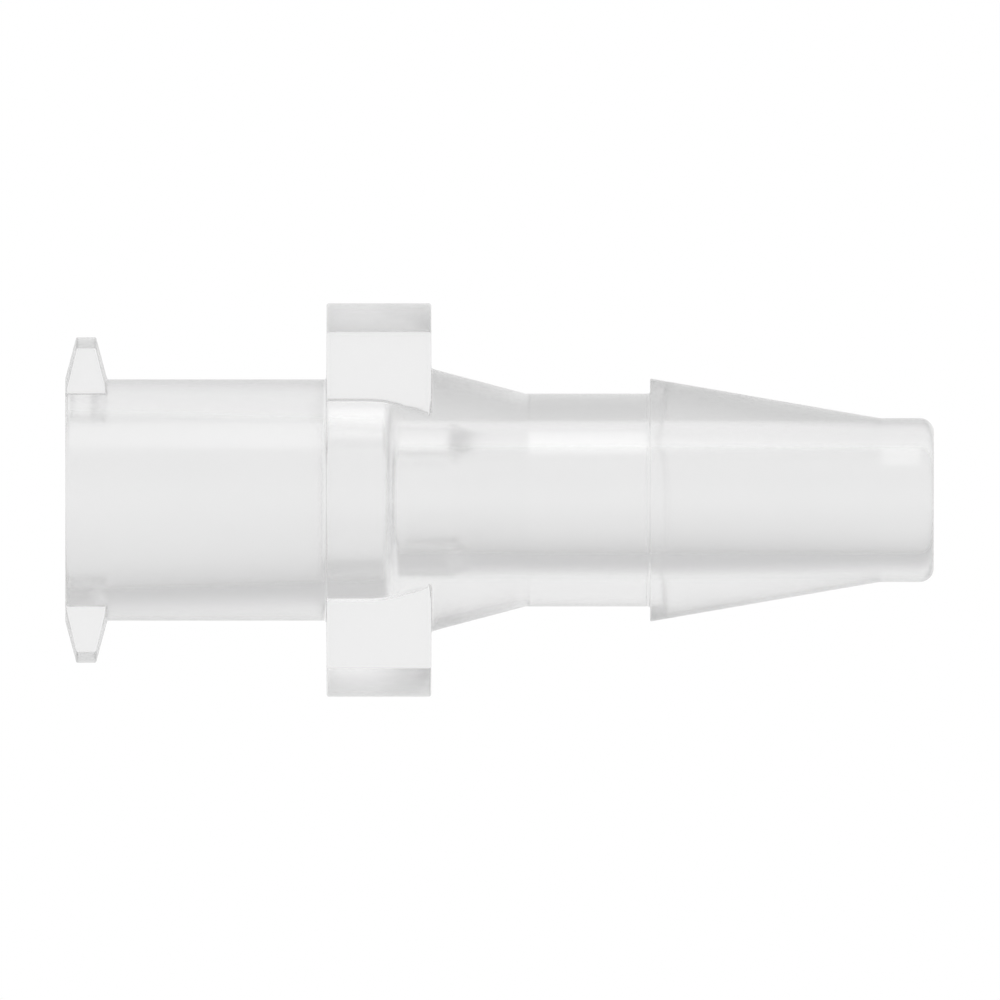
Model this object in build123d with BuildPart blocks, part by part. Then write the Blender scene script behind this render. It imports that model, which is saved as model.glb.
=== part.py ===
from build123d import *
import os

# Female luer lock to hose barb adapter, moulded in one piece. Millimetres, +Z along the passage.
# The luer face stands on Z = 0 and the barb points up. Lugs and collar ends lie along X.

# Luer hub and its two locking lugs
HUB_DIA = 5.76
HUB_FACE_FILLET = 0.09
LUG_ACROSS = 7.79
LUG_WIDTH = 2.82
LUG_FRONT_Z = 0.263
LUG_BACK_Z = 0.733
LUG_BACK_BASE_Z = 1.007
LUG_EDGE_FILLET = 0.06

# Grip collar: a disc with two flats, the round body standing proud of the flats
COLLAR_Z = 6.23
COLLAR_LENGTH = 2.51
COLLAR_DIA = 9.39
COLLAR_FLATS = 4.92
COLLAR_EDGE_FILLET = 0.06
COLLAR_BODY_DIA = 6.82

# Cone, which starts inside the collar level with the bottom of the luer socket, neck and barb
CONE_START_Z = 7.70
CONE_END_Z = 10.99
NECK_DIA = 5.08
BARB_Z = 13.96
BARB_DIA = 5.80
BARB_LIP_FILLET = 0.06
BARB_TAPER_END_Z = 19.44
TIP_DIA = 3.91
TIP_FILLET = 0.33
TOTAL_LENGTH = 20.73

# Passage: 6 % luer taper from the hub, then a round bore through the barb
LUER_MOUTH_DIA = 4.28
LUER_DEPTH = 7.70
LUER_TAPER = 0.06
LUER_MOUTH_CHAMFER = 0.08
BORE_DIA = 2.54
BORE_MOUTH_CHAMFER = 0.08

LUER_END_DIA = LUER_MOUTH_DIA - LUER_TAPER * LUER_DEPTH
OVERRUN = 1.0


def corner(profile, radius, z):
    """The vertex of a profile at this radius and height."""
    return profile.vertices().sort_by(lambda v: abs(v.X - radius) + abs(v.Y - z))[0]


with BuildPart() as fitting:
    # Round body: hub, collar core, cone, neck, barb with its square back step, plain tip
    with BuildSketch(Plane.XZ) as body_profile:
        with BuildLine():
            Polyline(
                (0, 0),
                (HUB_DIA / 2, 0),
                (HUB_DIA / 2, COLLAR_Z),
                (COLLAR_BODY_DIA / 2, COLLAR_Z),
                (COLLAR_BODY_DIA / 2, CONE_START_Z),
                (NECK_DIA / 2, CONE_END_Z),
                (NECK_DIA / 2, BARB_Z),
                (BARB_DIA / 2, BARB_Z),
                (TIP_DIA / 2, BARB_TAPER_END_Z),
                (TIP_DIA / 2, TOTAL_LENGTH),
                (0, TOTAL_LENGTH),
                close=True,
            )
        make_face()
        fillet(corner(body_profile, HUB_DIA / 2, 0), HUB_FACE_FILLET)
        fillet(corner(body_profile, BARB_DIA / 2, BARB_Z), BARB_LIP_FILLET)
        fillet(corner(body_profile, TIP_DIA / 2, TOTAL_LENGTH), TIP_FILLET)
    revolve(axis=Axis.Z)

    # Grip collar: the disc and the two flats that leave it oblong
    with BuildSketch(Plane.XY.offset(COLLAR_Z)):
        Circle(COLLAR_DIA / 2)
        Rectangle(COLLAR_DIA, COLLAR_FLATS, mode=Mode.INTERSECT)
    extrude(amount=COLLAR_LENGTH)
    rims = fitting.edges().filter_by(GeomType.CIRCLE).group_by(SortBy.RADIUS)[-1]
    fillet(rims, COLLAR_EDGE_FILLET)

    # Locking lugs: a flange with conical flanks, front and back, cut to a parallel-sided bar
    with BuildPart(mode=Mode.PRIVATE) as lugs:
        with BuildSketch(Plane.XZ):
            with BuildLine():
                Polyline(
                    (HUB_DIA / 2 - 0.3, 0),
                    (HUB_DIA / 2 + 0.05, 0),
                    (LUG_ACROSS / 2, LUG_FRONT_Z),
                    (LUG_ACROSS / 2, LUG_BACK_Z),
                    (HUB_DIA / 2, LUG_BACK_BASE_Z),
                    (HUB_DIA / 2 - 0.3, LUG_BACK_BASE_Z),
                    close=True,
                )
            make_face()
        revolve(axis=Axis.Z)
        Box(LUG_ACROSS + OVERRUN, LUG_WIDTH, 4 * LUG_BACK_BASE_Z, mode=Mode.INTERSECT)
        tips = lugs.edges().filter_by(GeomType.CIRCLE).group_by(SortBy.RADIUS)[-1]
        fillet(tips, LUG_EDGE_FILLET)
    add(lugs.part)

    # Passage: the luer socket tapering inwards, then the bore to the barb's end
    with BuildSketch(Plane.XZ):
        with BuildLine():
            Polyline(
                (0, -OVERRUN),
                (LUER_MOUTH_DIA / 2 + LUER_MOUTH_CHAMFER, -OVERRUN),
                (LUER_MOUTH_DIA / 2 + LUER_MOUTH_CHAMFER, 0),
                (LUER_MOUTH_DIA / 2, LUER_MOUTH_CHAMFER),
                (LUER_END_DIA / 2, LUER_DEPTH),
                (BORE_DIA / 2, LUER_DEPTH),
                (BORE_DIA / 2, TOTAL_LENGTH - BORE_MOUTH_CHAMFER),
                (BORE_DIA / 2 + BORE_MOUTH_CHAMFER, TOTAL_LENGTH),
                (BORE_DIA / 2 + BORE_MOUTH_CHAMFER, TOTAL_LENGTH + OVERRUN),
                (0, TOTAL_LENGTH + OVERRUN),
                close=True,
            )
        make_face()
    revolve(axis=Axis.Z, mode=Mode.SUBTRACT)

os.makedirs("parts", exist_ok=True)
fitting.part.label = "fitting"
export_step(fitting.part, "parts/fitting.step")
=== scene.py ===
import math

import bpy
import numpy as np
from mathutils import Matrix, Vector


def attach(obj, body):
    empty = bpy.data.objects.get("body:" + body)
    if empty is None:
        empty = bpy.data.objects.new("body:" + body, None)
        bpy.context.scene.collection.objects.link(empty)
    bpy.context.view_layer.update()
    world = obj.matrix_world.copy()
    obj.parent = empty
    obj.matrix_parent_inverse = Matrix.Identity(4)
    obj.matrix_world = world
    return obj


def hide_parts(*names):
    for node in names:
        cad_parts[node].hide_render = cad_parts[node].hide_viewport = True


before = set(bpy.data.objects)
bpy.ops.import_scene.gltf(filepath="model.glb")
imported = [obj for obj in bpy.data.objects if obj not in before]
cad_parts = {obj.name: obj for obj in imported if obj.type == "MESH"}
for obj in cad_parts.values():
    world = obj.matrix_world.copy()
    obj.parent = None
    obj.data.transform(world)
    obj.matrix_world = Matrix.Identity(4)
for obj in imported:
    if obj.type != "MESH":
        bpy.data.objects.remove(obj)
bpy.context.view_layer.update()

# ---------------------------------------------------------------- fitting
# The whole body in one shot of natural polypropylene: luer hub with two
# locking lugs, flatted collar, cone, neck and barb, and the stepped passage
# right through. It is one closed skin with a small radius on its edges.

MM = 0.001

HUB_R = 2.88
FACE_FILLET = 0.09
LUG_HALF = 1.41
LUG_ROWS = ((0.0, 2.90), (0.263, 3.885), (0.733, 3.885), (1.10, 2.51))
COLLAR_Z0 = 6.23
COLLAR_Z1 = 8.74
COLLAR_R = 4.695
COLLAR_HALF = 2.46
RIM_FILLET = 0.06
BODY_R = 3.41
CONE_Z0 = 7.70
CONE_Z1 = 10.99
NECK_R = 2.54
BARB_Z0 = 13.96
BARB_R = 2.90
LIP_FILLET = 0.02
TAPER_Z1 = 19.44
TIP_R = 1.955
TIP_FILLET = 0.33
TOP_Z = 20.73
MOUTH_R = 2.14
MOUTH_CHAMFER = 0.08
SOCKET_Z = 7.70
SOCKET_END_R = 1.909
BORE_R = 1.27
DRAFT = 0.006

ROOT = 0.03
STEP_ROOT = 0.04
CREST = 0.05
NO_BAR = (1.0, 1.0, STEP_ROOT)
ANGLES_A_QUARTER = 145
CORNERS = ((20.9, 1.0, 1.3), (29.3, 1.2, 1.3), (31.6, 1.0, 1.6), (48.0, 2.5, 0.7))


def soft_min(a, b, k):
    """The smaller of two radii, less (k - |a - b|)^2 / 4k where they cross, which rounds the corner."""
    h = np.clip(k - np.abs(a - b), 0, None) / k
    return np.minimum(a, b) - h * h * k / 4


def soft_max(a, b, k):
    """The larger of two radii, the inner corner filled in the same way."""
    return -soft_min(-a, -b, k)


def around():
    """Angles round the axis, the same in all four quarters. Their number to a degree is a plain level
    plus a bell at each corner of the lugs and the collar; its running sum is cut into equal steps."""
    fine = np.linspace(0, 90, 3601)
    weight = np.full_like(fine, 0.30)
    for corner, spread, height in CORNERS:
        weight += height * np.exp(-0.5 * ((fine - corner) / spread) ** 2)
    weight += 0.35 * (fine < 33)
    total = np.concatenate(([0], np.cumsum((weight[1:] + weight[:-1]) / 2)))
    quarter = np.interp(np.linspace(0, total[-1], ANGLES_A_QUARTER), total, fine)
    half = np.concatenate((quarter, 180 - quarter[-2::-1]))
    return np.radians(np.concatenate((half, 180 + half[1:-1])))


def arc(z_from, r_from, z_to, r_to, steps, first):
    """A quarter ellipse between two points of a profile: sine along one way and one less cosine along the
    other, leaving along Z if first is "z" and along R otherwise."""
    turn = np.linspace(0, math.pi / 2, steps)
    early, late = np.sin(turn), 1 - np.cos(turn)
    along_z, along_r = (early, late) if first == "z" else (late, early)
    return list(zip(z_from + (z_to - z_from) * along_z, r_from + (r_to - r_from) * along_r))


def core(z):
    """The round body's radius in the collar and the cone: a cylinder softly meeting a straight slope."""
    slope = (BODY_R - NECK_R) / (CONE_Z1 - CONE_Z0)
    return soft_min(BODY_R, BODY_R - slope * (z - CONE_Z0), 0.12)


def hub_rows():
    """The hub from the luer face to the collar, the lugs' radius going straight from point to point."""
    face = arc(0.0, HUB_R - FACE_FILLET, FACE_FILLET, HUB_R, 7, "r")
    levels = [z for z, r in face] + list(np.linspace(0.11, 1.10, 34))
    body = np.interp(levels, *np.transpose(face))
    lug = np.interp(levels, *np.transpose(LUG_ROWS))
    rows = [(z, b, LUG_HALF, wing, ROOT) for z, b, wing in zip(levels, body, lug)]
    rows += [(z, HUB_R, *NO_BAR) for z in np.linspace(1.2, 6.10, 6)]
    foot = arc(COLLAR_Z0 - RIM_FILLET, HUB_R, COLLAR_Z0, HUB_R + RIM_FILLET, 5, "z")
    return rows + [(z, r, *NO_BAR) for z, r in foot]


def collar_rows():
    """The collar: near face straight out, filleted rim, sides, filleted rim, far face to the cone."""
    e = RIM_FILLET
    rows = []
    for t in (0.3, 0.65, 1.0):
        body = HUB_R + e + (BODY_R - HUB_R - 2 * e) * t
        wing = HUB_R + e + (COLLAR_R - HUB_R - 2 * e) * t
        rows.append((COLLAR_Z0 + DRAFT * t, body, COLLAR_HALF - e * (1.6 - 0.6 * t), wing, STEP_ROOT))
    for z, d in arc(COLLAR_Z0 + DRAFT, e, COLLAR_Z0 + DRAFT + e, 0.0, 6, "r")[1:]:
        rows.append((z, BODY_R - d, COLLAR_HALF - d, COLLAR_R - d, ROOT))
    for z in (6.33, 6.6, 7.0, 7.3, 7.45, 7.6, 7.7, 7.8, 7.95, 8.1, 8.4, 8.64):
        rows.append((z, core(z), COLLAR_HALF, COLLAR_R, ROOT))
    for z, d in arc(COLLAR_Z1 - DRAFT - e, 0.0, COLLAR_Z1 - DRAFT, e, 6, "z"):
        rows.append((z, core(z), COLLAR_HALF - d, COLLAR_R - d, ROOT))
    shoulder = core(COLLAR_Z1)
    rows.append((COLLAR_Z1 - 0.5 * DRAFT, shoulder, COLLAR_HALF - 1.2 * e, shoulder + 0.6, STEP_ROOT))
    for z, r in arc(COLLAR_Z1, shoulder + e, COLLAR_Z1 + e, shoulder - 0.03, 5, "r"):
        rows.append((z, core(z), COLLAR_HALF - 1.2 * e, r, STEP_ROOT))
    return rows


def barb_rows():
    """Cone, neck, barb and tip, all round: slopes and cylinders between short quarter ellipses."""
    slope = (BARB_R - TIP_R) / (TAPER_Z1 - BARB_Z0)
    taper = np.linspace(BARB_Z0 + 0.05, TAPER_Z1 - 0.05, 10)
    profile = [(z, core(z)) for z in np.linspace(COLLAR_Z1 + 0.2, CONE_Z1, 8)]
    profile += [(z, NECK_R) for z in (CONE_Z1 + 0.12, 12.2, 13.4, BARB_Z0 - 0.10)]
    profile += arc(BARB_Z0 - 0.05, NECK_R, BARB_Z0, NECK_R + 0.05, 4, "z")
    profile += arc(BARB_Z0 + 0.001, BARB_R - LIP_FILLET, BARB_Z0 + LIP_FILLET, BARB_R - 0.0035, 5, "r")
    profile += [(z, BARB_R - slope * (z - BARB_Z0)) for z in taper]
    profile += [(z, TIP_R) for z in (TAPER_Z1 + 0.05, TAPER_Z1 + 0.3, 20.2, TOP_Z - TIP_FILLET)]
    profile += arc(TOP_Z - TIP_FILLET, TIP_R, TOP_Z, TIP_R - TIP_FILLET, 10, "z")[1:]
    return [(z, r, *NO_BAR) for z, r in profile]


def passage_rows():
    """The passage from the barb's end to the luer mouth: bore, rounded step, tapered socket, mouth."""
    taper = (MOUTH_R - SOCKET_END_R) / SOCKET_Z
    rows = arc(TOP_Z, BORE_R + 0.07, TOP_Z - 0.08, BORE_R, 5, "r")
    rows += [(z, BORE_R) for z in (20.4, 18.0, 15.0, 12.0, 9.5, SOCKET_Z + 0.22)]
    rows += arc(SOCKET_Z + 0.12, BORE_R, SOCKET_Z, BORE_R + 0.12, 6, "z")
    rows += arc(SOCKET_Z - 0.005, SOCKET_END_R - 0.20, SOCKET_Z - 0.205, SOCKET_END_R + 0.006, 9, "r")
    rows += [(z, MOUTH_R - taper * z) for z in (7.4, 6.0, 4.0, 2.0, 0.4, 0.14)]
    return rows + arc(0.09, MOUTH_R, 0.0, MOUTH_R + MOUTH_CHAMFER, 5, "z")


def skin():
    """One closed tube of rows round the axis, the last joined to the first. Outside, the radius at an
    angle is the larger of the round body and a bar, which is its half width over the sine of the angle,
    cut off at the wing's radius. Inside, it is a circle."""
    angle = around()
    sine = np.maximum(np.abs(np.sin(angle)), 1e-6)
    heights, rings = [], []
    for z, body, half, wing, root in hub_rows() + collar_rows() + barb_rows():
        bar = soft_min(half / sine, np.full_like(angle, wing), CREST)
        heights.append(z)
        rings.append(soft_max(np.full_like(angle, body), bar, root))
    for z, r in passage_rows():
        heights.append(z)
        rings.append(np.full_like(angle, r))
    r = np.array(rings)
    z = np.broadcast_to(np.array(heights)[:, None], r.shape)
    points = np.stack((r * np.cos(angle), r * np.sin(angle), z), axis=-1).reshape(-1, 3) * MM
    rows, count = r.shape
    row = np.arange(rows)[:, None]
    col = np.arange(count)[None, :]
    up = (row + 1) % rows
    right = (col + 1) % count
    here, above = row * count, up * count
    quads = np.stack((here + col, here + right, above + right, above + col), axis=-1)
    return points, quads.reshape(-1, 4)


def mesh_object(name, points, quads):
    """A smooth-shaded mesh. The normal at a point is the sum of its faces' diagonals crossed, made unit
    long, so that the larger faces weigh more and flats stay flat."""
    data = bpy.data.meshes.new(name)
    data.from_pydata(points, [], quads.tolist())
    data.shade_smooth()
    a, b, c, d = points[quads.T]
    across = np.cross(c - a, d - b)
    normal = np.zeros_like(points)
    for corner in range(4):
        np.add.at(normal, quads[:, corner], across)
    normal /= np.maximum(np.linalg.norm(normal, axis=1, keepdims=True), 1e-20)
    data.normals_split_custom_set_from_vertices(normal)
    made = bpy.data.objects.new(name, data)
    bpy.context.scene.collection.objects.link(made)
    return made


class Term:
    """One value in a shader, a socket or a number, that adds, subtracts and multiplies."""

    def __init__(self, tree, value):
        self.tree = tree
        self.value = value

    def plug(self, socket):
        """Feeds this value into a socket."""
        if isinstance(self.value, bpy.types.NodeSocket):
            self.tree.links.new(self.value, socket)
        else:
            socket.default_value = self.value

    def node(self, kind, sockets, output=0, **settings):
        """An output of a new node: its settings are made first, then its sockets, by name or number."""
        made = self.tree.nodes.new(kind)
        for name, value in settings.items():
            setattr(made, name, value)
        for name, item in sockets.items():
            term = item if isinstance(item, Term) else Term(self.tree, item)
            term.plug(made.inputs[name])
        return Term(self.tree, made.outputs[output])

    def math(self, operation, first, second):
        """Two values through one Math node."""
        return self.node("ShaderNodeMath", {0: first, 1: second}, operation=operation)

    def __add__(self, other):
        return self.math("ADD", self, other)

    def __radd__(self, other):
        return self.math("ADD", other, self)

    def __sub__(self, other):
        return self.math("SUBTRACT", self, other)

    def __rsub__(self, other):
        return self.math("SUBTRACT", other, self)

    def __mul__(self, other):
        return self.math("MULTIPLY", self, other)

    def __rmul__(self, other):
        return self.math("MULTIPLY", other, self)

    def at_least(self, other):
        """The larger of this and another value."""
        return self.math("MAXIMUM", self, other)

    def at_most(self, other):
        """The smaller of this and another value."""
        return self.math("MINIMUM", self, other)

    def noise(self, scale, detail):
        """Soft random clouds on Object coordinates, between 0 and 1."""
        place = self.node("ShaderNodeTexCoord", {}, "Object")
        ends = {"Vector": place, "Scale": scale, "Detail": detail}
        return self.node("ShaderNodeTexNoise", ends, "Fac")

    def grey(self, mask, low, high):
        """A grey going from low to high with a mask."""
        ends = {"Factor": mask, 6: (low, low, low, 1), 7: (high, high, high, 1)}
        return self.node("ShaderNodeMix", ends, 2, data_type="RGBA")


def material(name):
    """A new material, its Principled shader and a start for its shader maths."""
    made = bpy.data.materials.new(name)
    made.use_nodes = True
    return made, made.node_tree.nodes["Principled BSDF"], Term(made.node_tree, 0.0)


fitting = mesh_object("moulded_fitting", *skin())

# Clear, faintly milky, with the slightly uneven gloss of a moulded skin.
CLOUD_SCALE = 420.0
GRAIN_SCALE = 5200.0
MILKIEST, CLEAREST = 0.965, 0.99
GLOSSIEST, DULLING = 0.14, 0.04
RIPPLE = {"Strength": 0.05, "Distance": 0.00001}
PLASTIC_IOR = 1.5

plastic, shader, value = material("natural_plastic")
cloud = value.noise(CLOUD_SCALE, 3.0)
grain = value.noise(GRAIN_SCALE, 2.0)
value.grey(cloud, MILKIEST, CLEAREST).plug(shader.inputs["Base Color"])
(cloud * DULLING + GLOSSIEST).plug(shader.inputs["Roughness"])
value.node("ShaderNodeBump", {"Height": grain, **RIPPLE}, "Normal").plug(shader.inputs["Normal"])
shader.inputs["IOR"].default_value = PLASTIC_IOR
shader.inputs["Transmission Weight"].default_value = 1.0
fitting.data.materials.append(plastic)

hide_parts("fitting")
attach(fitting, "root")

# Light has to cross many walls of clear plastic before it is dropped.
bpy.context.scene.cycles.max_bounces = 32
bpy.context.scene.cycles.glossy_bounces = 16
bpy.context.scene.cycles.transmission_bounces = 24

# ------------------------------------------------------------------ table
# A pale matt table just under the luer face. It takes the fitting's shadow,
# and the clear plastic doesn't show it.

TABLE_HALF = 0.4
TABLE_Z = -0.0001
CHALK_DARKEST, CHALK_PALEST = 0.85, 0.87

corners = [(-1, -1), (1, -1), (1, 1), (-1, 1)]
table_mesh = bpy.data.meshes.new("table")
table_mesh.from_pydata([(x * TABLE_HALF, y * TABLE_HALF, 0) for x, y in corners], [], [(0, 1, 2, 3)])
table = bpy.data.objects.new("table", table_mesh)
bpy.context.scene.collection.objects.link(table)
table.location = (0, 0, TABLE_Z)

chalk, top, value = material("table_white")
top.inputs["Roughness"].default_value = 0.9
value.grey(value.noise(30.0, 2.0), CHALK_DARKEST, CHALK_PALEST).plug(top.inputs["Base Color"])
glossy = value.node("ShaderNodeLightPath", {}, "Is Glossy Ray")
inner = value.node("ShaderNodeLightPath", {}, "Is Transmission Ray")
clear = value.node("ShaderNodeBsdfTransparent", {})
matt = Term(chalk.node_tree, top.outputs[0])
surface = value.node("ShaderNodeMixShader", {0: inner.at_least(glossy), 1: matt, 2: clear})
surface.plug(chalk.node_tree.nodes["Material Output"].inputs["Surface"])
table_mesh.materials.append(chalk)

# --------------------------------------------------------------- backdrop
# A plain white backdrop all round, at a strength of 1 to the camera. In and
# through the plastic it is a little dimmer, darker on its lower side (+X) and
# brighter at the top, which gives clear plastic its bands.

WALL = 0.89
LOWER_FALL = 0.34
LOWER_END = -0.76
UPPER_START = 0.75
UPPER_RISE = 0.4

world = bpy.data.worlds.new("studio")
world.use_nodes = True
bpy.context.scene.world = world
background = world.node_tree.nodes["Background"]
value = Term(world.node_tree, 0.0)
camera_ray = value.node("ShaderNodeLightPath", {}, "Is Camera Ray")
glossy = value.node("ShaderNodeLightPath", {}, "Is Glossy Ray")
inner = value.node("ShaderNodeLightPath", {}, "Is Transmission Ray")
heading = value.node("ShaderNodeTexCoord", {}, "Generated")
side = value.node("ShaderNodeSeparateXYZ", {0: heading}, "X") * -1.0
low = side.at_least(LOWER_END).at_most(0.0)
high = (side - UPPER_START).at_least(0.0).at_most(1.0)
room = low * LOWER_FALL + WALL + high * UPPER_RISE
backdrop = room + (1 - room) * camera_ray
shown = camera_ray.at_least(glossy).at_least(inner)
((backdrop - WALL) * shown + WALL).plug(background.inputs["Strength"])
background.inputs["Color"].default_value = (1, 1, 1, 1)

# -------------------------------------------------------------------- key
# One soft white lamp on the camera's side, high towards -X. It draws the
# long bright band on the round parts, and isn't seen through the plastic.

KEY_PLACE = (-0.090, -0.044, 0.0104)
KEY_TARGET = (0, 0, 0.0104)
KEY_SIZE = (0.050, 0.030)
KEY_POWER = 0.009

light = bpy.data.lights.new("key", "AREA")
light.shape = "RECTANGLE"
light.size, light.size_y = KEY_SIZE
light.energy = KEY_POWER
key = bpy.data.objects.new("key", light)
bpy.context.scene.collection.objects.link(key)
key.location = KEY_PLACE
key.rotation_euler = (key.location - Vector(KEY_TARGET)).to_track_quat("Z", "Y").to_euler()
key.visible_transmission = False

# ----------------------------------------------------------------- camera
# Level with the fitting and square to its axis, turned on its side so that
# the luer end is on the left and the barb on the right.

MM_ACROSS = 23.87
MIDDLE_Z = 10.375

eye = bpy.data.cameras.new("camera")
eye.type = "ORTHO"
eye.ortho_scale = MM_ACROSS * MM
eye.clip_start = 0.001
camera = bpy.data.objects.new("camera", eye)
bpy.context.scene.collection.objects.link(camera)
camera.location = (0.0, -0.1, MIDDLE_Z * MM)
camera.rotation_euler = (math.radians(90), math.radians(-90), 0)
bpy.context.scene.camera = camera
bpy.context.scene.view_settings.view_transform = "Standard"
